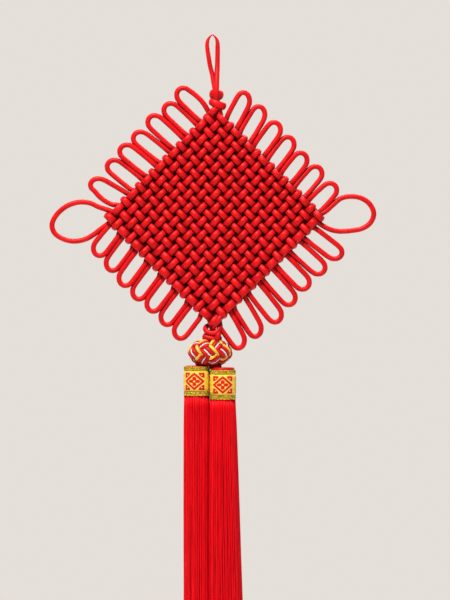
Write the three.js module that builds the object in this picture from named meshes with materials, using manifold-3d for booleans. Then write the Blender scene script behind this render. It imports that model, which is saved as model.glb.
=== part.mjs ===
// A hanging knot with two tassels. One red satin cord is woven into a diamond, its bights standing out as
// loops along the four sides and as an ear at the left and right corners. The cord's doubled ends make the
// hanging loop above and the small knots above and below. A round three-colour knot follows, then two
// tassels, each a bound head with a brocade band, two metallic braids and a long skirt of silk.
// Millimetres. X is to the right, Z is up and the front faces -Y. The origin is the top of the hanging
// loop's inside, where a nail or a hook carries the piece.
import * as THREE from "three";
import { mergeVertices } from "three/addons/utils/BufferGeometryUtils.js";
import Module from "manifold-3d";

const wasm = await Module();
wasm.setup();

// Sizes shared by several pieces.
const CORD_RADIUS = 2.85;
const CORD_SIDES = 6;
const UPRIGHT_SIDES = 8;
const LOCK_SIDES = 3;
const LOCK_ROOT = 0.15;
const WRAP_FACETS = { around: 7, along: 12 };
const SEAT_GAP = 0.3;

// The woven diamond: strands run down to the right (u) and up to the right (v).
const PITCH = 9.1;
const STRANDS = 16;
const DIAMOND = { x: 2.8, z: -165 };
const LAST_STRAND = (STRANDS - 1) / 2;
const EDGE = LAST_STRAND * PITCH;
// Heights above the middle plane, and reaches from a strand's centre in pitches.
const WEAVE = {
  crown: 6.5,
  dip: 3.9,
  hole: 1.6,
  floatEnd: 0.67,
  floatFlank: 0.33,
  notch: 0.3,
  bightFace: 0.48,
  bightMiddle: 0.68,
};

// The side loops: two legs leave the edge side by side with their neighbours' legs.
const PAIR_HALF = 2.65;
const LOOP_ROOT_DEPTH = 4;
const LOOP_TIP_HALF_WIDTH = 6;
const LOOP_TIP_LENGTH = 9;
const LEG_KNEE = 0.7;
const LOOPS_A_SIDE = 7;

// The doubled cord that leaves the diamond's top and bottom corners.
const STUB_RADIUS = 3.4;
const LOWER_STUB_SHIFT = -3.2;
// A small knot sits on each of those corners, which is cut level there over this width.
const KNOT_SEAT = 11;
const LOWER_SEAT_SHIFT = -2;

// The height at which one piece of the chain hands over to the next.
const LEVEL = {
  loopFoot: -48,
  topKnotFoot: -66,
  diamondFoot: -265.6,
  lowerKnotFoot: -279.7,
  ballFoot: -302,
};

const BALL = {
  x: -2.6,
  z: -291.1,
  halfWidth: 17.8,
  halfDepth: 12.6,
  halfHeight: 9.8,
  bandHalfWidth: 4,
  bandHalfThickness: 1.5,
  bandRise: 1.9,
  coreProud: 0.9,
  leads: 3,
  bights: 5,
  tilt: 0.8,
  stationsAHalf: 8,
  facets: { around: 16, up: 9 },
};

const HEAD = {
  radius: 10.9,
  height: 28.8,
  bandGap: 0.3,
  labelThickness: 0.9,
  labelHeight: 18.6,
  braidThickness: 1,
  braidHeight: 3.9,
  shoulder: 0.8,
  facets: 20,
};
const BAND_BEVEL = 0.12;
// The skirt's length, how unevenly its locks end, and how far down a lock's middle section lies.
const SKIRT = { length: 360, uneven: 3, middle: 0.5 };
const TASSELS = [
  { name: "left", x: -14.9, top: -303.9, rim: 0.5, cordX: -7.1, flare: 0.02, drift: 0 },
  { name: "right", x: 9.85, top: -306.1, rim: 1.4, cordX: 1.9, flare: 0.6, drift: 5 },
];
// Rings of silk locks under a head: how many, how far out and how thick.
const LOCK_RINGS = [
  { count: 20, radius: 9.9, size: 1.45 },
  { count: 12, radius: 6.4, size: 1.45 },
  { count: 6, radius: 3, size: 1.3 },
];

const MATERIALS = {
  cord: new THREE.MeshStandardMaterial({ color: 0xc4101c, roughness: 0.42 }),
  ball: new THREE.MeshStandardMaterial({ color: 0xb8141a, roughness: 0.4 }),
  silk: new THREE.MeshStandardMaterial({ color: 0xc80f1a, roughness: 0.5 }),
  brocade: new THREE.MeshStandardMaterial({ color: 0xf2c81e, roughness: 0.5 }),
  braid: new THREE.MeshStandardMaterial({ color: 0xb8902c, roughness: 0.35, metalness: 0.6 }),
};

// Closed solids for joining and cutting.
function solidOf(geometry) {
  const bare = geometry.clone();
  bare.deleteAttribute("normal");
  bare.deleteAttribute("uv");
  const merged = mergeVertices(bare, 1e-4);
  return new wasm.Manifold(
    new wasm.Mesh({
      numProp: 3,
      vertProperties: new Float32Array(merged.attributes.position.array),
      triVerts: new Uint32Array(merged.index.array),
    }),
  );
}

function geometryOf(solid) {
  const made = solid.getMesh();
  const geometry = new THREE.BufferGeometry();
  geometry.setAttribute("position", new THREE.BufferAttribute(made.vertProperties, 3));
  geometry.setIndex(new THREE.BufferAttribute(made.triVerts, 1));
  geometry.computeVertexNormals();
  return geometry;
}

const fuse = (solids) => solids.reduce((whole, solid) => whole.add(solid));

// What lies above (or below) a height is taken off, so that the next piece has a flat seat.
function trimmed(solid, { above, below }) {
  const size = 400;
  const slab = (z) => solidOf(new THREE.BoxGeometry(size, size, size).translate(0, 0, z));
  let left = solid;
  if (above !== undefined) left = left.subtract(slab(above + size / 2));
  if (below !== undefined) left = left.subtract(slab(below - size / 2));
  return left;
}

function polygon(sides, radius) {
  const points = [];
  for (let k = 0; k < sides; k += 1) {
    const angle = (k * 2 * Math.PI) / sides;
    points.push(new THREE.Vector2(radius * Math.cos(angle), radius * Math.sin(angle)));
  }
  return new THREE.Shape(points);
}

// A smooth line through hand-set points, whose sections fall on those points.
class Route extends THREE.CatmullRomCurve3 {
  getPointAt(t) {
    return this.getPoint(t);
  }

  getTangentAt(t) {
    return this.getTangent(t);
  }
}

function cordAlong(points, radius = CORD_RADIUS, sides = CORD_SIDES) {
  return new THREE.ExtrudeGeometry(polygon(sides, radius), {
    steps: points.length - 1,
    bevelEnabled: false,
    extrudePath: new Route(points, false, "centripetal"),
  });
}

function upright(x, y, from, to, radius) {
  return new THREE.CylinderGeometry(radius, radius, to - from, UPRIGHT_SIDES)
    .rotateX(Math.PI / 2)
    .translate(x, y, (from + to) / 2);
}

// A turn of cord around a knot's middle: an oval ring, tipped to one side.
function wrap({ x, z, halfWidth, halfDepth, radius, tall, tip }) {
  const ring = new THREE.TorusGeometry(halfWidth, radius, WRAP_FACETS.around, WRAP_FACETS.along);
  return ring
    .scale(1, halfDepth / halfWidth, tall)
    .rotateY(THREE.MathUtils.degToRad(tip))
    .translate(x, 0, z);
}

// A place on the diamond, u and v from its centre, depth towards the front.
function onDiamond(u, v, depth = 0) {
  return new THREE.Vector3(
    DIAMOND.x + (u + v) / Math.SQRT2,
    -depth,
    DIAMOND.z + (v - u) / Math.SQRT2,
  );
}

// One face of the weave as raised points, its outline, and the ring of the middle plane between the faces.
// In each cell one strand floats on top: the one along u where the strands' numbers add up to an even sum.
function wovenPoints() {
  const places = new Map();
  const floatsAlongU = (a, b) => (a + b) % 2 === 0;
  const put = (key, i, j, height, middle) => places.set(key, { i, j, height, middle });
  const rim = LAST_STRAND + WEAVE.notch;
  const notched = (n) => THREE.MathUtils.clamp(n - STRANDS / 2, -rim, rim);

  // Where a strand's float meets the next cell's, or ends as a bight over the diamond's edge.
  function meeting(n, alongHere) {
    const before = n - 1;
    if (n === 0 || n === STRANDS) {
      const outward = n === 0 ? -1 : 1;
      const floats = alongHere(n === 0 ? 0 : before);
      return {
        at: outward * (LAST_STRAND + (floats ? WEAVE.bightFace : WEAVE.floatFlank)),
        middle: outward * (LAST_STRAND + (floats ? WEAVE.bightMiddle : WEAVE.floatFlank)),
      };
    }
    const at = alongHere(before)
      ? before - LAST_STRAND + WEAVE.floatEnd
      : before - LAST_STRAND + WEAVE.floatFlank;
    return { at, middle: at };
  }

  for (let a = 0; a <= STRANDS; a += 1) {
    for (let b = 0; b <= STRANDS; b += 1) {
      const i = notched(a);
      const j = notched(b);
      put(`corner ${a} ${b}`, i, j, WEAVE.hole, [i, j]);
      if (b < STRANDS) {
        const j0 = b - LAST_STRAND;
        const { at, middle } = meeting(a, (n) => floatsAlongU(n, b));
        put(`uEdge ${a} ${b}`, at, j0, WEAVE.dip, [middle, j0]);
      }
      if (a < STRANDS) {
        const i0 = a - LAST_STRAND;
        const { at, middle } = meeting(b, (n) => !floatsAlongU(a, n));
        put(`vEdge ${a} ${b}`, i0, at, WEAVE.dip, [i0, middle]);
      }
    }
  }

  const triangles = [];
  for (let a = 0; a < STRANDS; a += 1) {
    for (let b = 0; b < STRANDS; b += 1) {
      const i = a - LAST_STRAND;
      const j = b - LAST_STRAND;
      const crown = `crown ${a} ${b}`;
      put(crown, i, j, WEAVE.crown);
      const around = [
        `corner ${a + 1} ${b}`, `uEdge ${a + 1} ${b}`, `corner ${a + 1} ${b + 1}`, `vEdge ${a} ${b + 1}`,
        `corner ${a} ${b + 1}`, `uEdge ${a} ${b}`, `corner ${a} ${b}`, `vEdge ${a} ${b}`,
      ];
      around.forEach((key, k) => triangles.push([key, around[(k + 1) % 8], crown]));
    }
  }

  const outline = [];
  for (let n = 0; n < STRANDS; n += 1) outline.push(`corner ${n} 0`, `vEdge ${n} 0`);
  for (let n = 0; n < STRANDS; n += 1) outline.push(`corner ${STRANDS} ${n}`, `uEdge ${STRANDS} ${n}`);
  for (let n = STRANDS; n > 0; n -= 1) outline.push(`corner ${n} ${STRANDS}`, `vEdge ${n - 1} ${STRANDS}`);
  for (let n = STRANDS; n > 0; n -= 1) outline.push(`corner 0 ${n}`, `uEdge 0 ${n - 1}`);
  return { places, triangles, outline };
}

function wovenDiamond() {
  const { places, triangles, outline } = wovenPoints();
  const positions = [];
  const index = [];
  const numbers = new Map();
  const add = (key, i, j, depth) => {
    numbers.set(key, positions.length / 3);
    positions.push(...onDiamond(i * PITCH, j * PITCH, depth).toArray());
  };
  for (const [key, { i, j, height }] of places) {
    add(`front ${key}`, i, j, height);
    add(`back ${key}`, i, j, -height);
  }
  for (const key of outline) add(`middle ${key}`, ...places.get(key).middle, 0);

  const face = (...keys) => index.push(...keys.map((key) => numbers.get(key)));
  for (const [p, q, r] of triangles) {
    face(`front ${p}`, `front ${q}`, `front ${r}`);
    face(`back ${r}`, `back ${q}`, `back ${p}`);
  }
  outline.forEach((here, k) => {
    const next = outline[(k + 1) % outline.length];
    for (const [upper, lower] of [["front", "middle"], ["middle", "back"]]) {
      face(`${upper} ${here}`, `${lower} ${here}`, `${lower} ${next}`);
      face(`${upper} ${here}`, `${lower} ${next}`, `${upper} ${next}`);
    }
  });
  const geometry = new THREE.BufferGeometry();
  geometry.setAttribute("position", new THREE.Float32BufferAttribute(positions, 3));
  geometry.setIndex(index);
  return geometry;
}

// The four sides. place turns a distance along the side and one outwards into a point. Leg positions are in
// strands from the middle. cornerRoom keeps a side's first leg off what leaves the corner beside it. Each
// loop's row gives how far its cord reaches from the edge strand, and how far its tip leans along the side.
const SIDES = [
  {
    // Upper left.
    place: (along, out) => onDiamond(-EDGE - out, along),
    firstLeg: 7.5,
    direction: -1,
    cornerRoom: 2.4,
    loops: [
      { reach: 37, lean: -0.6 }, { reach: 36, lean: -1.5 }, { reach: 38.5, lean: -1.6 },
      { reach: 37.4, lean: -3.6 }, { reach: 37.6, lean: -2.8 }, { reach: 36, lean: -2.6 },
      { reach: 34, lean: -6 },
    ],
  },
  {
    // Upper right.
    place: (along, out) => onDiamond(along, EDGE + out),
    firstLeg: -6.5,
    direction: 1,
    cornerRoom: 0,
    loops: [
      { reach: 30.8, lean: -8 }, { reach: 31.8, lean: -7.2 }, { reach: 31.6, lean: -4.6 },
      { reach: 31, lean: -4.4 }, { reach: 29, lean: -3.8 }, { reach: 30, lean: -3.4 },
      { reach: 28.6, lean: -1 },
    ],
  },
  {
    // Lower right.
    place: (along, out) => onDiamond(EDGE + out, along),
    firstLeg: 6.5,
    direction: -1,
    cornerRoom: 0,
    loops: [
      { reach: 36, lean: 4.4 }, { reach: 35.8, lean: 1.6 }, { reach: 35.8, lean: -0.5 },
      { reach: 36.6, lean: -1.6 }, { reach: 38.6, lean: -3.8 }, { reach: 35, lean: -7 },
      { reach: 32.8, lean: -7.8 },
    ],
  },
  {
    // Lower left.
    place: (along, out) => onDiamond(along, -EDGE - out),
    firstLeg: -7.5,
    direction: 1,
    cornerRoom: 2,
    loops: [
      { reach: 32.8, lean: 4.6 }, { reach: 34, lean: 5.4 }, { reach: 35.4, lean: 5.4 },
      { reach: 35.4, lean: 4.8 }, { reach: 34, lean: 3.8 }, { reach: 33.6, lean: 3.4 },
      { reach: 33.6, lean: 2.8 },
    ],
  },
];

// One side loop: straight legs, then half an oval round the tip.
function loopRoute(side, number) {
  const { reach, lean } = side.loops[number];
  const strand = side.firstLeg + side.direction * 2 * number;
  const crowding = number === 0 ? side.cornerRoom : 0;
  const start = strand * PITCH + side.direction * (PAIR_HALF + crowding);
  const end = (strand + 2 * side.direction) * PITCH - side.direction * PAIR_HALF;
  const middle = (start + end) / 2;
  const rootHalf = (end - start) / 2;
  const tipHalf = side.direction * LOOP_TIP_HALF_WIDTH;
  const shoulder = reach - LOOP_TIP_LENGTH;
  const legHalf = (out) => THREE.MathUtils.lerp(rootHalf, tipHalf, Math.max(0, out / shoulder));
  const at = (out, across) => side.place(middle + lean * Math.max(0, out / reach) + across, out);

  const points = [-LOOP_ROOT_DEPTH, LEG_KNEE * shoulder].map((out) => at(out, -legHalf(out)));
  for (const degrees of [0, 36, 72, 108, 144, 180]) {
    const angle = THREE.MathUtils.degToRad(degrees);
    points.push(at(shoulder + LOOP_TIP_LENGTH * Math.sin(angle), -tipHalf * Math.cos(angle)));
  }
  for (const out of [LEG_KNEE * shoulder, -LOOP_ROOT_DEPTH]) points.push(at(out, legHalf(out)));
  return points;
}

// The two ears, as x and z from the origin, from the upper leg round to the lower one.
const EARS = [
  [
    [-87, -160], [-96, -159.4], [-104.4, -156.8], [-113.4, -153.9], [-123.4, -153.4], [-133.8, -156.8],
    [-143, -164.4], [-147.6, -173.6], [-145.6, -181.2], [-138.4, -186.6], [-128.2, -188.8], [-117.6, -186.4],
    [-109.2, -180.8], [-103, -173.6], [-97.6, -166.6], [-90, -163.5],
  ],
  [
    [96, -165], [102.8, -162.6], [110.8, -155.8], [118.2, -149.8], [126.6, -148], [136.4, -149.4],
    [144.6, -155], [148.4, -163.8], [145.4, -172], [138.4, -177.2], [128, -179.4], [116, -180],
    [107.4, -178], [99.4, -173.6], [92, -167.4],
  ],
];

function knotBody() {
  const pieces = [solidOf(wovenDiamond())];
  for (const side of SIDES) {
    for (let number = 0; number < LOOPS_A_SIDE; number += 1) {
      pieces.push(solidOf(cordAlong(loopRoute(side, number))));
    }
  }
  for (const ear of EARS) {
    pieces.push(solidOf(cordAlong(ear.map(([x, z]) => new THREE.Vector3(x, 0, z)))));
  }
  const tip = EDGE * Math.SQRT2 - PITCH;
  const stubs = [
    upright(DIAMOND.x, 0, DIAMOND.z + tip, LEVEL.topKnotFoot, STUB_RADIUS),
    upright(DIAMOND.x + LOWER_STUB_SHIFT, 0, LEVEL.diamondFoot, DIAMOND.z - tip, STUB_RADIUS),
  ];
  pieces.push(...stubs.map(solidOf));
  const seats = [
    { x: DIAMOND.x, z: LEVEL.topKnotFoot - SEAT_GAP + KNOT_SEAT / 2 },
    { x: DIAMOND.x + LOWER_SEAT_SHIFT, z: LEVEL.diamondFoot - KNOT_SEAT / 2 },
  ];
  return seats.reduce((whole, { x, z }) => {
    const block = new THREE.BoxGeometry(KNOT_SEAT, 2 * KNOT_SEAT, KNOT_SEAT).translate(x, 0, z);
    return whole.subtract(solidOf(block));
  }, fuse(pieces));
}

// The hanging loop: the right leg ends in front of the left one. x, depth towards the front, z.
const HANGING_LOOP = [
  [1.2, -1.9, -50], [1, -1.8, -41], [-0.7, -1.4, -33], [-2.5, -0.8, -25.8], [-4.3, -0.2, -17.7],
  [-5.5, 0, -10.5], [-5.2, 0, -5], [-3.3, 0, -0.3], [-0.7, 0, 2.2], [2, 0, -0.1],
  [4, 0, -4.8], [4.4, 0, -10.5], [4.3, 0.2, -17.7], [3.9, 0.8, -25.8], [3.4, 1.4, -33],
  [3, 1.8, -41], [2.8, 1.9, -50],
];
const HANGING_LOOP_RADIUS = 2.25;

function hangingLoop() {
  const route = HANGING_LOOP.map(([x, depth, z]) => new THREE.Vector3(x, -depth, z));
  return trimmed(solidOf(cordAlong(route, HANGING_LOOP_RADIUS, UPRIGHT_SIDES)), { below: LEVEL.loopFoot });
}

// A small connecting knot: the doubled cord with turns of cord around it.
function smallKnot(core, wraps, ends) {
  const { above, below } = ends;
  const cords = core.map(({ x, depth, radius }) => upright(x, -depth, below - 1, above + 1, radius));
  const pieces = [...cords, ...wraps.map(wrap)].map(solidOf);
  return trimmed(fuse(pieces), ends);
}

function topKnot() {
  const core = [
    { x: 2.2, depth: -1.9, radius: 2.7 },
    { x: 3.2, depth: 1.9, radius: 2.7 },
  ];
  const wraps = [
    { x: 3.2, z: -54.2, halfWidth: 3.6, halfDepth: 3.5, radius: 3, tall: 1.5, tip: 6 },
    { x: 4.4, z: -61.6, halfWidth: 5.2, halfDepth: 4.4, radius: 3.1, tall: 1.05, tip: 22 },
  ];
  return smallKnot(core, wraps, { above: LEVEL.loopFoot - SEAT_GAP, below: LEVEL.topKnotFoot });
}

function lowerKnot() {
  const core = [
    { x: -1.8, depth: -1.9, radius: 2.7 },
    { x: 0.4, depth: 1.9, radius: 2.7 },
  ];
  const wraps = [
    { x: -0.8, z: -270.6, halfWidth: 4.6, halfDepth: 4, radius: 2.9, tall: 1.1, tip: 10 },
    { x: -2, z: -275.8, halfWidth: 5, halfDepth: 4.4, radius: 2.9, tall: 1.1, tip: -14 },
  ];
  return smallKnot(core, wraps, { above: LEVEL.diamondFoot - SEAT_GAP, below: LEVEL.lowerKnotFoot });
}

// The round knot: a flat band of cords that weaves three times round, over and under itself. It is made
// in half turns, none of which meets itself.
function ballBand() {
  const { bandHalfWidth: wide, bandHalfThickness: thick, stationsAHalf } = BALL;
  const flat = wide / 2;
  const section = [[-wide, -thick], [wide, -thick], [wide, 0], [flat, thick], [-flat, thick], [-wide, 0]];
  const centreAt = (turn) => {
    const wave = (BALL.bights * turn) / BALL.leads;
    const latitude = BALL.tilt * Math.sin(wave);
    const level = Math.cos(latitude);
    const spoke = [Math.cos(turn) * level, Math.sin(turn) * level, Math.sin(latitude)];
    const sizes = [BALL.halfWidth, BALL.halfDepth, BALL.halfHeight];
    const out = new THREE.Vector3(...spoke.map((share, k) => share / sizes[k])).normalize();
    const centre = new THREE.Vector3(...spoke.map((share, k) => share * sizes[k]));
    return { centre: centre.addScaledVector(out, BALL.bandRise * Math.sin(2 * wave)), out };
  };
  const halfTurn = (half) => {
    const positions = [];
    const index = [];
    for (let k = 0; k <= stationsAHalf; k += 1) {
      const turn = (half + k / stationsAHalf) * Math.PI;
      const { centre, out } = centreAt(turn);
      const ahead = centreAt(turn + 0.01).centre.sub(centre).normalize();
      const across = new THREE.Vector3().crossVectors(out, ahead).normalize();
      for (const [side, rise] of section) {
        const point = centre.clone().addScaledVector(across, side).addScaledVector(out, rise);
        positions.push(BALL.x + point.x, point.y, BALL.z + point.z);
      }
    }
    const last = stationsAHalf * section.length;
    for (let s = 0; s < section.length; s += 1) {
      const next = (s + 1) % section.length;
      for (let here = 0; here < last; here += section.length) {
        const there = here + section.length;
        index.push(here + s, there + next, there + s, here + s, here + next, there + next);
      }
      if (s > 0 && next > 0) index.push(0, next, s, last, last + s, last + next);
    }
    const geometry = new THREE.BufferGeometry();
    geometry.setAttribute("position", new THREE.Float32BufferAttribute(positions, 3));
    geometry.setIndex(index);
    return solidOf(geometry);
  };
  const halves = [];
  for (let half = 0; half < 2 * BALL.leads; half += 1) halves.push(halfTurn(half));
  return fuse(halves);
}

function ballKnot() {
  const { halfWidth, halfDepth, halfHeight, coreProud, facets } = BALL;
  const core = new THREE.SphereGeometry(1, facets.around, facets.up)
    .rotateX(Math.PI / 2)
    .scale(halfWidth + coreProud, halfDepth + coreProud, halfHeight + 2 * coreProud)
    .translate(BALL.x, 0, BALL.z);
  const whole = solidOf(core).add(ballBand());
  return trimmed(whole, { above: LEVEL.lowerKnotFoot - SEAT_GAP, below: LEVEL.ballFoot });
}

// A ring of cloth or braid around a head, closed on itself.
function ringAround(x, bottom, height, inner, thickness) {
  const profile = [
    [inner, 0],
    [inner + thickness, BAND_BEVEL * height],
    [inner + thickness, (1 - BAND_BEVEL) * height],
    [inner, height],
    [inner, 0],
  ].map(([radius, level]) => new THREE.Vector2(radius, level));
  return new THREE.LatheGeometry(profile, HEAD.facets).rotateX(Math.PI / 2).translate(x, 0, bottom);
}

// A silk lock: a three-sided strand from inside the head to the skirt's end.
function lock(tassel, ring, number) {
  const angle = (number * 2 * Math.PI) / ring.count;
  const length = SKIRT.length + SKIRT.uneven * Math.sin(number * 2.4 + ring.radius);
  const foot = tassel.top - HEAD.height;
  const route = [0, SKIRT.middle, 1].map((share) => {
    const radius = ring.radius * (1 + tassel.flare * share);
    return new THREE.Vector3(
      tassel.x + tassel.drift * share + radius * Math.cos(angle),
      radius * Math.sin(angle),
      share === 0 ? foot + LOCK_ROOT : foot - share * length,
    );
  });
  return cordAlong(route, ring.size, LOCK_SIDES);
}

function tasselSolid(tassel) {
  const foot = tassel.top - HEAD.height;
  const profile = [
    [0, foot],
    [HEAD.radius, foot],
    [HEAD.radius, tassel.top - HEAD.shoulder],
    [HEAD.radius - HEAD.shoulder, tassel.top],
    [0, tassel.top],
  ].map(([radius, level]) => new THREE.Vector2(radius, level));
  const head = new THREE.LatheGeometry(profile, HEAD.facets).rotateX(Math.PI / 2).translate(tassel.x, 0, 0);
  const pieces = [solidOf(head)];
  pieces.push(solidOf(upright(tassel.cordX, 0, tassel.top - 1, LEVEL.ballFoot - SEAT_GAP, 2.2)));
  for (const ring of LOCK_RINGS) {
    for (let number = 0; number < ring.count; number += 1) pieces.push(solidOf(lock(tassel, ring, number)));
  }
  return fuse(pieces);
}

// The bands round a head from the top down: braid, brocade label, braid.
function headBands(tassel) {
  const inner = HEAD.radius + HEAD.bandGap;
  const upper = tassel.top - tassel.rim - HEAD.braidHeight;
  const label = upper - SEAT_GAP - HEAD.labelHeight;
  const lower = label - SEAT_GAP - HEAD.braidHeight;
  const braidAt = (z) => ringAround(tassel.x, z, HEAD.braidHeight, inner, HEAD.braidThickness);
  return {
    [`braid_${tassel.name}_upper`]: braidAt(upper),
    [`label_${tassel.name}`]: ringAround(tassel.x, label, HEAD.labelHeight, inner, HEAD.labelThickness),
    [`braid_${tassel.name}_lower`]: braidAt(lower),
  };
}

const knot = new THREE.Group();

function addMesh(name, geometry, material) {
  const mesh = new THREE.Mesh(geometry, material);
  mesh.name = name;
  knot.add(mesh);
}

addMesh("hanging_loop", geometryOf(hangingLoop()), MATERIALS.cord);
addMesh("top_knot", geometryOf(topKnot()), MATERIALS.cord);
addMesh("knot_body", geometryOf(knotBody()), MATERIALS.cord);
addMesh("lower_knot", geometryOf(lowerKnot()), MATERIALS.cord);
addMesh("ball_knot", geometryOf(ballKnot()), MATERIALS.ball);
for (const tassel of TASSELS) {
  addMesh(`tassel_${tassel.name}`, geometryOf(tasselSolid(tassel)), MATERIALS.silk);
  for (const [name, geometry] of Object.entries(headBands(tassel))) {
    addMesh(name, geometry, name.startsWith("label") ? MATERIALS.brocade : MATERIALS.braid);
  }
}

export default knot;
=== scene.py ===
"""The looks of a hanging knot with two tassels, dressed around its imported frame.

One red satin cord is woven into a diamond with loops along its four sides. Small connecting knots join it
to the hanging loop above and to a round knot of red, yellow and white cords below, which carries two silk
tassels with brocade bands. Lengths are in millimetres and turn into metres where a mesh is made. X is to
the right, Z is up and the front faces -Y.
"""

import math
import random

import bpy
import numpy as np
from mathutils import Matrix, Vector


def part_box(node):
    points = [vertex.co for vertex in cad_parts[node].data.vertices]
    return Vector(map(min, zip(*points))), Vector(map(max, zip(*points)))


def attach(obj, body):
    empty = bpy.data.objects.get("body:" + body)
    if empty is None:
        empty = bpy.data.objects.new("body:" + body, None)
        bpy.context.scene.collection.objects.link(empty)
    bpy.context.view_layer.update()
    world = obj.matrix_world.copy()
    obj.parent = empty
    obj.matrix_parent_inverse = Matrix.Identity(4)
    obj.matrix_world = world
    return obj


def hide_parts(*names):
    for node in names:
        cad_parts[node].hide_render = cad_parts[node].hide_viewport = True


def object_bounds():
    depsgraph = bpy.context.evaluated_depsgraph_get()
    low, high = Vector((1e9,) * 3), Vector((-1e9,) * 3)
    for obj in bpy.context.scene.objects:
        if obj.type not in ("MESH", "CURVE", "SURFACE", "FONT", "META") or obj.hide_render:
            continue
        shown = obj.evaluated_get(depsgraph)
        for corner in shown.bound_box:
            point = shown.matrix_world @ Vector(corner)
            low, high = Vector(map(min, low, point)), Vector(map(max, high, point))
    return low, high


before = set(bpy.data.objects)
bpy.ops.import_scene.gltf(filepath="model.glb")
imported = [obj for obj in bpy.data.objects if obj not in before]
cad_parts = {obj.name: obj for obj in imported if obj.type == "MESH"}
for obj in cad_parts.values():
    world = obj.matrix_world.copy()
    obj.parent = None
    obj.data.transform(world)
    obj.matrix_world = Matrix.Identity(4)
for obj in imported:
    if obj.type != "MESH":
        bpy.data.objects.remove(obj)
cad_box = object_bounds()
MM = 0.001
FRONT = np.array([0.0, -1.0, 0.0])
DICE = random.Random(8)

# The woven diamond, as in the frame: strands along u run down to the right, those along v up to the right.
# They are numbered from -LAST to LAST. The inner ones are drawn a little closer together than PITCH, and
# the outer ones lie where the loops pull them.
PITCH, INNER_PITCH = 9.1, 8.86
PULLED = {
    "u": {-7.5: -67.0, 7.5: 68.2},
    "v": {-7.5: -70.9, -6.5: -59.8, -5.5: -49.9, -4.5: -40.4, -3.5: -31.2, 7.5: 66.0},
}
STRANDS = 16
LAST = (STRANDS - 1) / 2
EDGE = LAST * PITCH
DIAMOND_X, DIAMOND_Z = 2.8, -165.0

# Depths of a strand's middle where it floats and where it dives, and its half sizes there. FLOAT_FULLNESS
# below 1 makes the floats longer than the dives.
FLOAT_DEPTH, DIVE_DEPTH = 6.0, 1.5
FLOAT_HALF, DIVE_HALF = (2.95, 2.0), (2.75, 1.8)
FLOAT_FULLNESS = 0.92
STEPS_A_CELL = 8

# A round cord: half its thickness, the sides of its mesh and its steps between two given points.
CORD_HALF = 2.42
CORD_SIDES = 14
CORD_STEPS, BEND_STEPS = 8, 6


# Curves and tubes.


def unit(vectors):
    vectors = np.asarray(vectors, float)
    return vectors / np.maximum(np.linalg.norm(vectors, axis=-1, keepdims=True), 1e-9)


def smoothstep(x):
    x = np.clip(x, 0.0, 1.0)
    return x * x * (3 - 2 * x)


def spline(points, per_span, closed=False):
    """A centripetal Catmull-Rom curve through the points."""
    p = np.asarray(points, float)
    if closed:
        ext = np.vstack([p[-1:], p, p[:2]])
    else:
        ext = np.vstack([2 * p[:1] - p[1:2], p, 2 * p[-1:] - p[-2:-1]])
    made = []
    for p0, p1, p2, p3 in zip(ext[:-3], ext[1:-2], ext[2:-1], ext[3:]):
        pairs = ((p0, p1), (p1, p2), (p2, p3))
        gaps = [max(np.linalg.norm(b[:3] - a[:3]) ** 0.5, 1e-6) for a, b in pairs]
        t0, t1 = 0.0, gaps[0]
        t2 = t1 + gaps[1]
        t3 = t2 + gaps[2]
        for t in np.linspace(t1, t2, per_span, endpoint=False):
            a1 = ((t1 - t) * p0 + (t - t0) * p1) / (t1 - t0)
            a2 = ((t2 - t) * p1 + (t - t1) * p2) / (t2 - t1)
            a3 = ((t3 - t) * p2 + (t - t2) * p3) / (t3 - t2)
            b1 = ((t2 - t) * a1 + (t - t0) * a2) / (t2 - t0)
            b2 = ((t3 - t) * a2 + (t - t1) * a3) / (t3 - t1)
            made.append(((t2 - t) * b1 + (t - t1) * b2) / (t2 - t1))
    if not closed:
        made.append(p[-1])
    return np.array(made)


def tangents(path, closed=False):
    if closed:
        return unit(np.roll(path, -1, axis=0) - np.roll(path, 1, axis=0))
    return unit(np.gradient(path, axis=0))


# How much of the texture's first coordinate a marked thread covers.
MARKED_SPAN = 0.2


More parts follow.
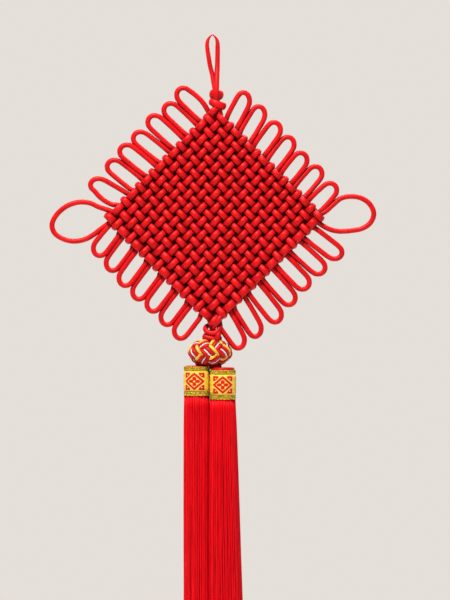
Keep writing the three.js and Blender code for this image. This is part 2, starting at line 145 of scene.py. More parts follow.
class Shape:
    """Vertices, faces and texture places gathered from several tubes and sheets."""

    def __init__(self):
        self.points, self.faces, self.places, self.count = [], [], [], 0

    def add(self, points, faces, places):
        self.points.append(np.asarray(points, float).reshape(-1, 3))
        self.faces += [tuple(self.count + k for k in face) for face in faces]
        self.places += places
        self.count += len(self.points[-1])

    def tube(self, path, hint, half_width, half_depth, sides=CORD_SIDES, closed=False, mark=None):
        """A cord along path. hint is the side of it that faces outwards, one vector or one for each point.
        mark moves its texture place, so that no two threads are alike."""
        path = np.asarray(path, float)
        n = len(path)
        ahead = tangents(path, closed)
        across = unit(np.cross(ahead, np.broadcast_to(hint, path.shape)))
        out = np.cross(across, ahead)
        half_width = np.broadcast_to(half_width, n)[:, None, None]
        half_depth = np.broadcast_to(half_depth, n)[:, None, None]
        angles = np.linspace(0, 2 * math.pi, sides, endpoint=False)[None, :, None]
        rings = path[:, None] + across[:, None] * half_width * np.cos(angles)
        rings = rings + out[:, None] * half_depth * np.sin(angles)
        run = np.concatenate([[0], np.cumsum(np.linalg.norm(np.diff(path, axis=0), axis=1))])
        faces, places = [], []
        for i in range(n if closed else n - 1):
            j = (i + 1) % n
            v0 = run[i]
            v1 = run[j] if j else run[i] + np.linalg.norm(path[0] - path[-1])
            for k in range(sides):
                m = (k + 1) % sides
                faces.append((i * sides + k, i * sides + m, j * sides + m, j * sides + k))
                u0, u1 = k / sides, (k + 1) / sides
                places += [(u0, v0), (u1, v0), (u1, v1), (u0, v1)]
        if not closed:
            first = tuple(reversed(range(sides)))
            last = tuple((n - 1) * sides + k for k in range(sides))
            faces += [first, last]
            places += [(0.5, 0.0)] * sides + [(0.5, run[-1])] * sides
        if mark is not None:
            places = [(u * MARKED_SPAN + mark, v) for u, v in places]
        self.add(rings, faces, places)

    def lathe(self, x, y, z, profile, segments, closed=False, turn=0.0):
        """A profile of radii and heights turned about an upright axis. Texture places are turns about the
        axis, moved by turn, and lengths along the profile."""
        profile = np.asarray(profile, float)
        n = len(profile)
        run = np.concatenate([[0], np.cumsum(np.linalg.norm(np.diff(profile, axis=0), axis=1))])
        angles = np.linspace(0, 2 * math.pi, segments, endpoint=False)
        points = [
            (x + r * math.sin(a), y - r * math.cos(a), z + h) for r, h in profile for a in angles
        ]
        faces, places = [], []
        for i in range(n if closed else n - 1):
            j = (i + 1) % n
            v0, v1 = run[i], run[j] if j else run[i] + np.linalg.norm(profile[0] - profile[-1])
            for k in range(segments):
                m = (k + 1) % segments
                faces.append((i * segments + k, i * segments + m, j * segments + m, j * segments + k))
                u0, u1 = k / segments + turn, (k + 1) / segments + turn
                places += [(u0, v0), (u1, v0), (u1, v1), (u0, v1)]
        self.add(points, faces, places)

    def piece(self, name, material, slot, *nodes):
        """The finished mesh as a piece that rides on the part and stands for nodes of the frame."""
        mesh = bpy.data.meshes.new(name)
        mesh.from_pydata((np.vstack(self.points) * MM).tolist(), [], self.faces)
        layer = mesh.uv_layers.new(name="along")
        layer.data.foreach_set("uv", np.asarray(self.places, float).ravel())
        mesh.polygons.foreach_set("use_smooth", [True] * len(mesh.polygons))
        mesh.materials.append(material)
        mesh.validate()
        made = bpy.data.objects.new(name, mesh)
        bpy.context.scene.collection.objects.link(made)
        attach(made, "root")
        if nodes:
            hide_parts(*nodes)
        return made


# Materials. Colours are linear red, green, blue and 1.
RED = (0.52, 0.003, 0.006, 1.0)
DEEP_RED = (0.36, 0.001, 0.003, 1.0)
BALL_RED = (0.42, 0.003, 0.006, 1.0)
YELLOW = (0.70, 0.46, 0.035, 1.0)
DEEP_YELLOW = (0.50, 0.22, 0.01, 1.0)
WHITE = (0.80, 0.75, 0.70, 1.0)
OFF_WHITE = (0.62, 0.54, 0.48, 1.0)
SILK_DARK, SILK_LIGHT = (0.46, 0.001, 0.004, 1.0), (0.64, 0.003, 0.009, 1.0)
CLOTH_DARK, CLOTH_LIGHT = (0.60, 0.39, 0.02, 1.0), (0.66, 0.48, 0.05, 1.0)
MOTIF_DARK, MOTIF_LIGHT = (0.36, 0.004, 0.001, 1.0), (0.50, 0.009, 0.003, 1.0)
MOTIF_EDGE = (0.66, 0.30, 0.10, 1.0)
# The braid's gilt: GILT_LIGHT is the bright speckle over GILT_DARK, painted glints.
GILT_DARK, GILT_LIGHT = (0.32, 0.17, 0.004, 1.0), (0.95, 0.68, 0.09, 1.0)
GILT_THREAD = (0.26, 0.15, 0.008, 1.0)

# Tints of the gloss.
RED_GLOSS = (1.0, 0.15, 0.13, 1.0)
SILK_GLOSS = (1.0, 0.12, 0.1, 1.0)
YELLOW_GLOSS = (1.0, 0.85, 0.5, 1.0)
GOLD_GLOSS = (1.0, 0.7, 0.15, 1.0)
WHITE_GLOSS = (1.0, 1.0, 1.0, 1.0)

# Painted shade: where cords stand close around a place, as far as CREVICE_REACH (m), its colour is darkened
# as shade would fall there, by CREVICE_DEPTH at most, as the share of open air there falls from
# CREVICE_LIGHT to CREVICE_DARK.
CREVICE_REACH, CREVICE_DEPTH = 0.006, 0.75
CREVICE_DARK, CREVICE_LIGHT = 0.1, 1.0

# The satin sheath's yarns: how dark their edges are, and the strength and height (m) of their relief.
YARN_SHADE, YARN_STRENGTH, YARN_RELIEF = 0.3, 0.14, 0.00018

# The scales of the noises: patches of the cords' dye, the braid's painted glints, the cloth and the floor.
DYE_SCALE, GLINT_SCALE, CLOTH_SCALE, FLOOR_SCALE = 90.0, 900.0, 160.0, 3.0

# The silk's streaks: how far they are drawn out along the threads, and their scale.
STREAK_STRETCH, STREAK_SCALE = 0.004, 9.0

# The brocade band and its motifs: how many go round, the band's height and radius, and how much wider a
# motif is than its share. MOTIF_BORDER is its pale edge's width. The threads are waves round and along, and
# the relief has a strength and a height (m), the motif standing MOTIF_RAISED times the threads' above them.
LABEL_REPEATS = 3
LABEL_HEIGHT = 18.6
LABEL_RADIUS = 12.1
MOTIF_STRETCH = 1.22
MOTIF_BORDER = 0.34
CLOTH_WAVES = (700.0, 16.0)
MOTIF_RAISED, CLOTH_STRENGTH, CLOTH_RELIEF = 2.0, 0.35, 0.00012

# The motif's lines, in millimetres from its middle: where each lies and half its width, and the places
# where frets and hooks start and end. Then the reach of its four petals and of its heart.
RING, FRET, HOOK = (6.9, 1.3), (7.1, 0.9), (4.5, 0.6)
FRET_START, HOOK_START, HOOK_END = 3.4, 9.6, 7.0
PETAL_REACH, PETAL_WAIST, HEART = 2.7, 1.7, 0.9

# The metallic braid's slanting yarns: waves round it and along it, and the relief's strength and height (m).
GILT_WAVES = (380.0, 5.0)
GILT_STRENGTH, GILT_RELIEF = 0.5, 0.0003


class Paint:
    """A principled material and short calls that add nodes to it."""

    def __init__(self, name, tint=(1.0, 1.0, 1.0, 1.0), **sockets):
        self.material = bpy.data.materials.new(name)
        self.material.use_nodes = True
        self.tree = self.material.node_tree
        self.shader = self.tree.nodes["Principled BSDF"]
        self.shader.inputs["Specular Tint"].default_value = tint
        for socket, value in sockets.items():
            self.shader.inputs[socket.replace("_", " ")].default_value = value

    def node(self, kind, settings=(), **inputs):
        made = self.tree.nodes.new("ShaderNode" + kind)
        for key, value in dict(settings).items():
            setattr(made, key, value)
        for key, value in inputs.items():
            socket = made.inputs[int(key[1:])] if key[0] == "_" else made.inputs[key]
            if isinstance(value, bpy.types.NodeSocket):
                self.tree.links.new(value, socket)
            else:
                socket.default_value = value
        return made

    def math(self, operation, a, b=0.0, c=0.0):
        return self.node("Math", {"operation": operation}, _0=a, _1=b, _2=c).outputs[0]

    def mix(self, share, a, b):
        """A colour between a and b."""
        made = self.node("Mix", {"data_type": "RGBA"}, _0=share)
        for socket, value in ((made.inputs[6], a), (made.inputs[7], b)):
            if isinstance(value, bpy.types.NodeSocket):
                self.tree.links.new(value, socket)
            else:
                socket.default_value = value
        return made.outputs[2]

    def ramp(self, value, low, high):
        """0 below low, 1 above high."""
        made = self.node("MapRange", {}, Value=value)
        made.inputs["From Min"].default_value = low
        made.inputs["From Max"].default_value = high
        return made.outputs[0]

    def places(self):
        """The texture place's two coordinates."""
        made = self.node("UVMap", {"uv_map": "along"})
        split = self.node("SeparateXYZ", {}, Vector=made.outputs[0])
        return split.outputs[0], split.outputs[1]

    def noise(self, scale, detail=2.0, vector=None):
        vector = vector or self.node("TexCoord").outputs["Object"]
        return self.node("TexNoise", {}, Vector=vector, Scale=scale, Detail=detail).outputs["Fac"]

    def colour(self, socket):
        self.tree.links.new(socket, self.shader.inputs["Base Color"])

    def bump(self, height, strength, distance):
        made = self.node("Bump", {}, Height=height, Strength=strength, Distance=distance)
        self.tree.links.new(made.outputs[0], self.shader.inputs["Normal"])


def grey(value):
    return (value, value, value, 1.0)


def painted_crevice_shade(paint, colour):
    """The colour with painted shade: darker where other cords stand close around it, by ambient occlusion.
    """
    open_air = paint.node("AmbientOcclusion", {"samples": 6}, Distance=CREVICE_REACH).outputs["AO"]
    # painted shade: the colour darkened where little open air is left around it
    deep = paint.mix(CREVICE_DEPTH, colour, grey(0.0))
    return paint.mix(paint.ramp(open_air, CREVICE_DARK, CREVICE_LIGHT), deep, colour)


def cord_paint(name, colour, dark, gloss, turns=9.0, lay=1.9):
    """Braided satin: fine yarns that cross along two diagonals, a soft gloss, a little unevenness and
    painted shade where other cords stand close. There are turns of them round the cord, and one passes every
    lay millimetres."""
    paint = Paint(name, gloss, Roughness=0.46, Specular_IOR_Level=0.7)
    around, along = paint.places()
    turn = paint.math("MULTIPLY", around, turns * 2 * math.pi)
    run = paint.math("MULTIPLY", along, 2 * math.pi / lay)
    one = paint.math("SINE", paint.math("ADD", turn, run))
    other = paint.math("SINE", paint.math("SUBTRACT", turn, run))
    braid = paint.math("MAXIMUM", one, other)
    patches = paint.noise(DYE_SCALE, 3.0)
    shade = paint.mix(paint.ramp(patches, 0.3, 0.75), dark, colour)
    yarns = paint.mix(paint.ramp(braid, -0.6, 0.5), paint.mix(YARN_SHADE, shade, dark), shade)
    # the yarns' colour with painted shade in the crevices
    paint.colour(painted_crevice_shade(paint, yarns))
    paint.bump(braid, YARN_STRENGTH, YARN_RELIEF)
    return paint.material


def silk_paint():
    """Combed silk: streaks of lighter and darker threads along the skirt."""
    paint = Paint("silk", SILK_GLOSS, Roughness=0.42, Specular_IOR_Level=0.5)
    around, along = paint.places()
    stretched = paint.node("CombineXYZ", {}, X=around, Y=paint.math("MULTIPLY", along, STREAK_STRETCH))
    streaks = paint.noise(STREAK_SCALE, 3.0, stretched.outputs[0])
    paint.colour(paint.mix(paint.ramp(streaks, 0.35, 0.65), SILK_DARK, SILK_LIGHT))
    return paint.material


def braid_paint():
    """Metallic braid: gilt flat yarns over a darker thread, with a broken speckle of painted glints."""
    paint = Paint("gold_braid", GOLD_GLOSS, Metallic=0.35, Roughness=0.36)
    around, along = paint.places()
    turned = paint.math("MULTIPLY", around, GILT_WAVES[0])
    run = paint.math("MULTIPLY", along, GILT_WAVES[1])
    yarn = paint.math("SINE", paint.math("ADD", turned, run))
    # painted glints: a broken speckle of bright gilt over darker gilt, which also roughens the relief
    glint_speckle = paint.noise(GLINT_SCALE, 2.0)
    gilt = paint.mix(paint.ramp(glint_speckle, 0.38, 0.62), GILT_DARK, GILT_LIGHT)
    paint.colour(paint.mix(paint.ramp(yarn, -0.9, 0.1), GILT_THREAD, gilt))
    paint.bump(paint.math("ADD", yarn, glint_speckle), GILT_STRENGTH, GILT_RELIEF)
    return paint.material


def motif(paint, x, y, grow):
    """1 on the motif and 0 beside it: a lozenge and fret corners round a flower. Its edges are moved
    outwards by grow."""
    ax, ay = paint.math("ABSOLUTE", x), paint.math("ABSOLUTE", y)
    lozenge, square = paint.math("ADD", ax, ay), paint.math("MAXIMUM", ax, ay)
    least = paint.math("MINIMUM", ax, ay)

    def band(value, middle, half):
        off = paint.math("ABSOLUTE", paint.math("SUBTRACT", value, middle))
        return paint.math("LESS_THAN", off, half + grow)

    ring = band(lozenge, *RING)
    beyond = paint.math("GREATER_THAN", least, FRET_START - grow)
    frets = paint.math("MULTIPLY", band(square, *FRET), beyond)
    within = paint.math("LESS_THAN", square, HOOK_END + grow)
    hooks = paint.math("MULTIPLY", band(least, *HOOK), within)
    beyond = paint.math("GREATER_THAN", lozenge, HOOK_START - grow)
    hooks = paint.math("MULTIPLY", hooks, beyond)
    squares = paint.math("ADD", paint.math("MULTIPLY", x, x), paint.math("MULTIPLY", y, y))
    far = paint.math("POWER", squares, 0.5)
    petals = paint.math("COSINE", paint.math("MULTIPLY", paint.math("ARCTAN2", y, x), 2.0))
    reach = paint.math("MULTIPLY_ADD", paint.math("ABSOLUTE", petals), PETAL_REACH, PETAL_WAIST + grow)
    flower = paint.math("LESS_THAN", far, reach)
    heart = paint.math("LESS_THAN", far, HEART - grow)
    made = paint.math("MAXIMUM", ring, paint.math("SUBTRACT", flower, heart))
    return paint.math("MAXIMUM", made, paint.math("MAXIMUM", frets, hooks))


def brocade_paint():
    """Yellow brocade with a row of red motifs that have a pale orange edge."""
    paint = Paint("brocade", YELLOW_GLOSS, Roughness=0.5, Specular_IOR_Level=0.2)
    around, along = paint.places()
    tile = paint.math("FRACT", paint.math("MULTIPLY_ADD", around, LABEL_REPEATS, 0.5))
    width = 2 * math.pi * LABEL_RADIUS / LABEL_REPEATS / MOTIF_STRETCH
    x = paint.math("MULTIPLY", paint.math("SUBTRACT", tile, 0.5), width)
    y = paint.math("SUBTRACT", along, LABEL_HEIGHT / 2)
    weave = paint.math(
        "MULTIPLY",
        paint.math("SINE", paint.math("MULTIPLY", around, CLOTH_WAVES[0])),
        paint.math("SINE", paint.math("MULTIPLY", along, CLOTH_WAVES[1])),
    )
    patches = paint.noise(CLOTH_SCALE, 2.0)
    cloth = paint.mix(paint.ramp(patches, 0.3, 0.7), CLOTH_DARK, CLOTH_LIGHT)
    threads = paint.mix(paint.ramp(weave, -0.5, 0.5), MOTIF_DARK, MOTIF_LIGHT)
    inner = motif(paint, x, y, 0.0)
    edged = paint.mix(motif(paint, x, y, MOTIF_BORDER), cloth, MOTIF_EDGE)
    paint.colour(paint.mix(inner, edged, threads))
    raised = paint.math("MULTIPLY_ADD", inner, MOTIF_RAISED, weave)
    paint.bump(raised, CLOTH_STRENGTH, CLOTH_RELIEF)
    return paint.material


# The woven diamond.


def on_diamond(u, v, depth):
    """Points from places along u and v, with depth towards the front."""
    u, v, depth = np.broadcast_arrays(u, v, depth)
    x = DIAMOND_X + (u + v) / math.sqrt(2)
    z = DIAMOND_Z + (v - u) / math.sqrt(2)
    return np.stack([x, -depth, z], axis=-1)


# Each side: where a place along it and one outwards lie, the axes that these two follow, whether the second
# rises outwards, the strand of its first leg pair, which way the next ones follow and the room kept at its
# first corner. "tucked" is how far the last floats of its first strand are drawn aside. Each loop has how
# far it reaches, how far its tip leans and, where given, how far its two legs bow outwards.
SIDES = {
    "upper_left": {
        "place": lambda along, out, depth: on_diamond(-EDGE - out, along, depth),
        "axis": "v",
        "out_axis": "u",
        "sign": -1,
        "first": 7.5,
        "step": -1,
        "room": 2.4,
        "loops": [
            (37, -0.6, 2.4, 0.4), (35.4, -2.1), (37.9, -2.2), (36.8, -4.2), (37, -3.4), (35.4, -3.2),
            (34, -8.2, 0.2, 2.6),
        ],
    },
    "upper_right": {
        "place": lambda along, out, depth: on_diamond(along, EDGE + out, depth),
        "axis": "u",
        "out_axis": "v",
        "sign": 1,
        "first": -6.5,
        "step": 1,
        "room": 0,
        "loops": [(30.8, -8), (31.8, -7.2), (31.6, -4.6), (31, -4.4), (29, -3.8), (30, -3.4), (28.6, -1)],
    },
    "lower_right": {
        "place": lambda along, out, depth: on_diamond(EDGE + out, along, depth),
        "axis": "v",
        "out_axis": "u",
        "sign": 1,
        "first": 6.5,
        "step": -1,
        "room": 0,
        "loops": [(40, 3.8), (39, 1), (38.6, -1.1), (39.6, -2.2), (41.8, -4.4), (38, -9), (34.6, -9.2)],
    },
    "lower_left": {
        "place": lambda along, out, depth: on_diamond(along, -EDGE - out, depth),
        "axis": "u",
        "out_axis": "v",
        "sign": -1,
        "first": -7.5,
        "step": 1,
        "room": 2,
        "tucked": [-0.2, -0.6, -1.2, -1.9],
        "loops": [(35.2, 5.5), (36.6, 6.3), (38, 6.3), (38, 5.7), (36.6, 4.7), (36.2, 4.3), (36.4, 3.7)],
    },
}

# Half the distance between the two legs that leave the diamond side by side. They press together a little.
PAIR_HALF = 2.38
# A loop's tip is half an oval, this wide on each side of its middle and this long. Neighbouring loops are
# lifted forwards and backwards in turn. The legs are placed at these shares of the way to the tip.
LOOP_TIP_HALF, LOOP_TIP_LENGTH, LOOP_LIFT = 6.8, 7.8, 1.0
LEG_PLACES, LEG_BOW = (0.45, 0.75), 0.35
# A leg starts outside the first strand that its cord crosses. Its start and spread are counted in strands,
# its run in millimetres for each, and its foot is how far outwards the loop begins.
LEG_START, LEG_RUN, LEG_FOOT = -0.42, 7.8, 6.3
LEG_SPREAD = (0.8, -0.2)
# The bend at the far edge that takes a cord from the front layer to the back one.
BIGHT_OFFSET, BIGHT_REACH, BIGHT_STEPS = 0.5, 3.3, 10
# The back layer: how many strands it is moved aside, over which length this starts at both ends of a cord,
# and how much deeper and wider its cords are. Its first and last strands are moved less: BACK_START holds
# the count by which each axis starts early and the count that it takes, BACK_FINISH that of the last ones.
BACK_SHIFT, BACK_END_EASE, BACK_SINK, BACK_WIDER = 0.5, 5.0, 0.9, 1.2
BACK_START, BACK_FINISH = {"u": (2.0, 4.0), "v": (1.2, 3.7)}, 1.5
# How far a float strays to either side.
UNEVEN = 0.22


def strand_place(n, axis, layer=1):
    """Where along an axis strand n lies. Those of the back layer (-1) rest in the gaps of the front one,
    and come level with it towards the edges."""
    level = PULLED[axis].get(n, n * INNER_PITCH)
    if layer > 0:
        return level
    start, span = BACK_START[axis]
    eased = smoothstep((n + LAST + start) / span) * smoothstep((LAST - n) / BACK_FINISH)
    return level + BACK_SHIFT * PITCH * eased


def spacing(n, axis):
    """How many times further apart than the inner strands strand n and its neighbours lie, at least 1."""
    low, high = max(n - 1, -LAST), min(n + 1, LAST)
    return max((strand_place(high, axis) - strand_place(low, axis)) / (high - low) / INNER_PITCH, 1.0)


def rungs(side, layer):
    """Places outwards of the strands that a cord of this side crosses, from its leg on."""
    sign, axis = side["sign"], side["out_axis"]
    return np.array([sign * strand_place(sign * (LAST - m), axis, layer) - EDGE for m in range(STRANDS)])


def crossing(layer, side, strand, leg):
    """One cord of a hairpin across the diamond, on the front layer (1) or the back one (-1), from its leg
    on this side to the far edge: rows of along, out, depth, half width and half depth. leg is how far its
    leg lies aside from it."""
    m = np.append(np.arange(LEG_START, LAST * 2, 1 / STEPS_A_CELL), LAST * 2)
    places = rungs(side, layer)
    out = np.interp(m, range(STRANDS), places)
    out = np.where(m < 0, places[0] - m * LEG_RUN, out)
    nudges = np.array([DICE.uniform(-UNEVEN, UNEVEN) for _ in range(STRANDS)])
    if layer > 0 and strand == side["first"] and "tucked" in side:
        nudges[-len(side["tucked"]):] += side["tucked"]
    level, moved = strand_place(strand, side["axis"]), strand_place(strand, side["axis"], layer)
    ends = smoothstep((places[0] - out) / BACK_END_EASE) * smoothstep((out - places[-1]) / BACK_END_EASE)
    share = smoothstep((LEG_SPREAD[0] - m) / (LEG_SPREAD[0] - LEG_SPREAD[1]))
    strayed = np.interp(m, range(STRANDS), nudges)
    along = level + (moved - level) * ends + strayed * (1 - share) + leg * share
    swing = (0.5 - 0.5 * np.cos(math.pi * m)) ** FLOAT_FULLNESS
    depth = DIVE_DEPTH + (FLOAT_DEPTH - DIVE_DEPTH) * swing
    wide = (DIVE_HALF[0] + (FLOAT_HALF[0] - DIVE_HALF[0]) * swing) * spacing(strand, side["axis"])
    if layer < 0:
        depth = depth + BACK_SINK * ends
        wide = wide + BACK_WIDER * ends
    deep = DIVE_HALF[1] + (FLOAT_HALF[1] - DIVE_HALF[1]) * swing
    depth = depth * (1 - share)
    wide = wide + (CORD_HALF - wide) * share
    deep = deep + (CORD_HALF - deep) * share
    return np.stack([along, out, layer * depth, wide, deep], axis=1)


def loop_controls(side, number):
    """The side loop's places along and outwards: straight legs, then half an oval round the tip."""
    reach, lean, *bows = side["loops"][number]
    bows = bows or (LEG_BOW, LEG_BOW)
    step = side["step"]
    strand = side["first"] + step * 2 * number
    room = side["room"] if number == 0 else 0
    start = strand_place(strand, side["axis"]) + step * (PAIR_HALF + room)
    end = strand_place(strand + 2 * step, side["axis"]) - step * PAIR_HALF
    middle, root_half = (start + end) / 2, (end - start) / 2
    tip = (strand + step) * PITCH + step * room / 2 + lean
    tip_half = step * LOOP_TIP_HALF
    shoulder = reach - LOOP_TIP_LENGTH

    def at(out, across):
        return (middle + (tip - middle) * max(0, out / reach) + across, out)

    def leg_half(out):
        return root_half + (tip_half - root_half) * max(0, out / shoulder)

    def leg(out, way):
        bulge = bows[0 if way < 0 else 1] * math.sin(math.pi * min(1, out / shoulder))
        return at(out, way * (leg_half(out) + step * bulge))

    outs = [rungs(side, 1)[0] + LEG_FOOT] + [share * shoulder for share in LEG_PLACES]
    points = [leg(out, -1) for out in outs]
    for degrees in range(0, 181, 30):
        angle = math.radians(degrees)
        points.append(at(shoulder + LOOP_TIP_LENGTH * math.sin(angle), -tip_half * math.cos(angle)))
    return points + [leg(out, 1) for out in reversed(outs)]


def woven_side(name):
    """The cord of one side, whole: eight hairpins through the diamond, joined by the seven loops."""
    side = SIDES[name]
    place, step = side["place"], side["step"]
    outwards = unit(place(0, 1, 0) - place(0, 0, 0))
    rows, hints = [], []

    def extend(new_rows, new_hints):
        rows.append(np.asarray(new_rows))
        hints.append(np.broadcast_to(new_hints, (len(new_rows), 3)))

    count = len(side["loops"]) + 1
    for k in range(count):
        strand = side["first"] + step * 2 * k
        room = side["room"] if k == 0 else 0
        front = crossing(1, side, strand, -step * PAIR_HALF)
        back = crossing(-1, side, strand, step * (PAIR_HALF + room))
        extend(front, FRONT)
        angles = np.linspace(math.pi / 2, -math.pi / 2, BIGHT_STEPS + 2)[1:-1]
        bight = np.stack(
            [
                np.interp(np.sin(angles), [-1, 1], [back[-1, 0], front[-1, 0]]),
                front[-1, 1] - BIGHT_OFFSET - BIGHT_REACH * np.cos(angles),
                FLOAT_DEPTH * np.sin(angles),
                np.full(BIGHT_STEPS, FLOAT_HALF[0]),
                np.full(BIGHT_STEPS, FLOAT_HALF[1]),
            ],
            axis=1,
        )
        extend(bight, np.sin(angles)[:, None] * FRONT - np.cos(angles)[:, None] * outwards)
        extend(back[::-1], -FRONT)
        if k < count - 1:
            following = crossing_start(side, k + 1)
            spots = loop_controls(side, k)
            reach = side["loops"][k][0]
            lifts = [(-1) ** k * LOOP_LIFT * math.sin(math.pi / 2 * min(1, o / reach)) for _, o in spots]
            controls = [(a, o, lift, CORD_HALF, CORD_HALF) for (a, o), lift in zip(spots, lifts)]
            guide = np.vstack([back[2], back[0], controls, following])
            curve = spline(guide, BEND_STEPS)[BEND_STEPS + 1 : -BEND_STEPS]
            flat = place(curve[:, 0], curve[:, 1], 0 * curve[:, 2])
            inside = np.cross(tangents(flat), FRONT)
            turn = math.pi * (1 - smoothstep(np.linspace(0, 1, len(curve))))[:, None]
            extend(curve, np.cos(turn) * FRONT + np.sin(turn) * inside)
    return place, np.vstack(rows), np.vstack(hints)


def crossing_start(side, k):
    """The first two rows of the next hairpin's front cord, which a loop runs into."""
    strand = side["first"] + side["step"] * 2 * k
    along = strand_place(strand, side["axis"]) - side["step"] * PAIR_HALF
    first = rungs(side, 1)[0] - LEG_START * LEG_RUN
    return [(along, first, 0, CORD_HALF, CORD_HALF), (along, first - 2, 0, CORD_HALF, CORD_HALF)]


def make_diamond(paint):
    for name in SIDES:
        place, rows, hints = woven_side(name)
        shape = Shape()
        shape.tube(place(rows[:, 0], rows[:, 1], rows[:, 2]), hints, rows[:, 3], rows[:, 4])
        shape.piece("weave_" + name, paint, "satin_cord", "knot_body")


# The ears, as x and z, from the upper leg round to the lower one.
EARS = {
    "left": [
        (-82, -166), (-88.5, -163.4), (-96, -160.6), (-104.4, -157.8), (-113.4, -153.9), (-123.4, -153.4),
        (-133.8, -156.8), (-143, -164.4), (-147.6, -173.6), (-145.6, -181.2), (-138.4, -186.6),
        (-128.2, -189.2), (-117.6, -187.6), (-109.2, -183), (-103.3, -178.4), (-97.5, -174.2), (-91, -170),
    ],
    "right": [
        (90, -167), (96, -165), (102.8, -162.6), (110.8, -155.8), (118.2, -149.8), (126.6, -148),
        (136.4, -149.4), (144.6, -155), (148.4, -163.8), (145.4, -172), (138.4, -177.2), (128, -179.4),
        (116, -180), (107.4, -178), (99.4, -173.6), (92, -167.4),
    ],
}


def make_ears(paint):
    for name, points in EARS.items():
        path = spline([(x, 0, z) for x, z in points], CORD_STEPS)
        shape = Shape()
        shape.tube(path, FRONT, CORD_HALF, CORD_HALF)
        shape.piece("ear_" + name, paint, "satin_cord", "knot_body")


# The hanging loop and the small knots.

# Millimetres to a pixel of the photograph, and the column and row of the frame's origin in it.
PIXEL = 0.92
ORIGIN_COLUMN, ORIGIN_ROW = 212.5, 35.5
# The steps of a turn of cord, and how much each axis counts in the direction that its flat side faces.
TURN_STEPS = 48
TURN_FACES = (0.6, 1.0, 0.1)

# The hanging loop's cord: x, depth towards the front, z, half width across and half depth.
HANGING_LOOP = [
    (2.4, 3.5, -57, 2.4, 1.6), (2.2, 3.4, -50, 2.3, 2.0), (0.9, 1.6, -42, 2.3, 2.1),
    (-0.4, 0.2, -35, 2.2, 2.2), (-2.0, -0.2, -29, 2.1, 2.2), (-3.3, -0.1, -21.6, 2.1, 2.2),
    (-4.9, 0, -10.2, 1.9, 2.2), (-4.7, 0, -6, 1.7, 2.2), (-3.6, 0, -2.8, 1.25, 2.2),
    (-1.7, 0, -0.4, 0.75, 2.3), (0, 0, 0.7, 0.6, 2.4), (1.6, 0, -0.4, 0.75, 2.3),
    (3.6, 0, -3.0, 1.3, 2.2), (4.5, 0, -6, 1.8, 2.2), (4.7, 0, -10.2, 2.1, 2.2),
    (4.6, 0.2, -21.6, 2.2, 2.2), (4.4, 1.0, -29, 2.3, 2.2), (4.1, 2.6, -35, 2.4, 2.1),
    (3.8, 4.6, -42, 2.5, 2.0), (3.5, 6.4, -50, 2.6, 1.8), (3.3, 6.4, -54.5, 2.6, 1.7),
    (3.2, 4.2, -58.5, 2.5, 1.7), (3.2, 2.0, -61, 2.4, 1.7),
]


def make_hanging_loop(paint):
    controls = [(x, -depth, z, wide, deep) for x, depth, z, wide, deep in HANGING_LOOP]
    rows = spline(controls, CORD_STEPS)
    shape = Shape()
    shape.tube(rows[:, :3], FRONT, rows[:, 3], rows[:, 4])
    shape.piece("hanging_cord", paint, "satin_cord", "hanging_loop")


def turn_of_cord(shape, x, z, half_width, half_depth, tall, thick, tip, wave):
    """A turn of flattened cord round a knot's middle, tipped to one side by some degrees, tall and thick
    being its half sizes."""
    angles = np.linspace(0, 2 * math.pi, TURN_STEPS, endpoint=False)
    tilt = math.radians(tip)
    flat_x = half_width * np.cos(angles)
    rise = wave * np.cos(2 * angles)
    path = np.stack(
        [
            x + flat_x * math.cos(tilt) + rise * math.sin(tilt),
            half_depth * np.sin(angles),
            z - flat_x * math.sin(tilt) + rise * math.cos(tilt),
        ],
        axis=1,
    )
    level = np.cos(angles)
    out = np.stack([level * math.cos(tilt), np.sin(angles), -level * math.sin(tilt)], axis=1)
    shape.tube(path, out, tall, thick, closed=True)


def knot_cord(shape, points, wide, deep, closed):
    """A cord through places in the photograph, each with its column, its row and its depth towards the
    front."""
    path = [((x - ORIGIN_COLUMN) * PIXEL, -depth, (ORIGIN_ROW - y) * PIXEL) for x, y, depth in points]
    middle = np.mean(path, axis=0)
    curve = spline(path, BEND_STEPS, closed)
    hint = FRONT
    if closed:
        hint = unit((curve - middle) * TURN_FACES)
    shape.tube(curve, hint, wide, deep, closed=closed)


# The upper knot's two turns: x, z, half width and half depth of the turn, half height and half thickness
# of its cord, its tip in degrees and its wave.
TOP_TURNS = [
    (3.6, -54.3, 4.1, 3.6, 4.3, 2.6, 8, 0.0),
    (4.5, -63.2, 5.8, 4.3, 3.7, 2.7, 23, 0.3),
]
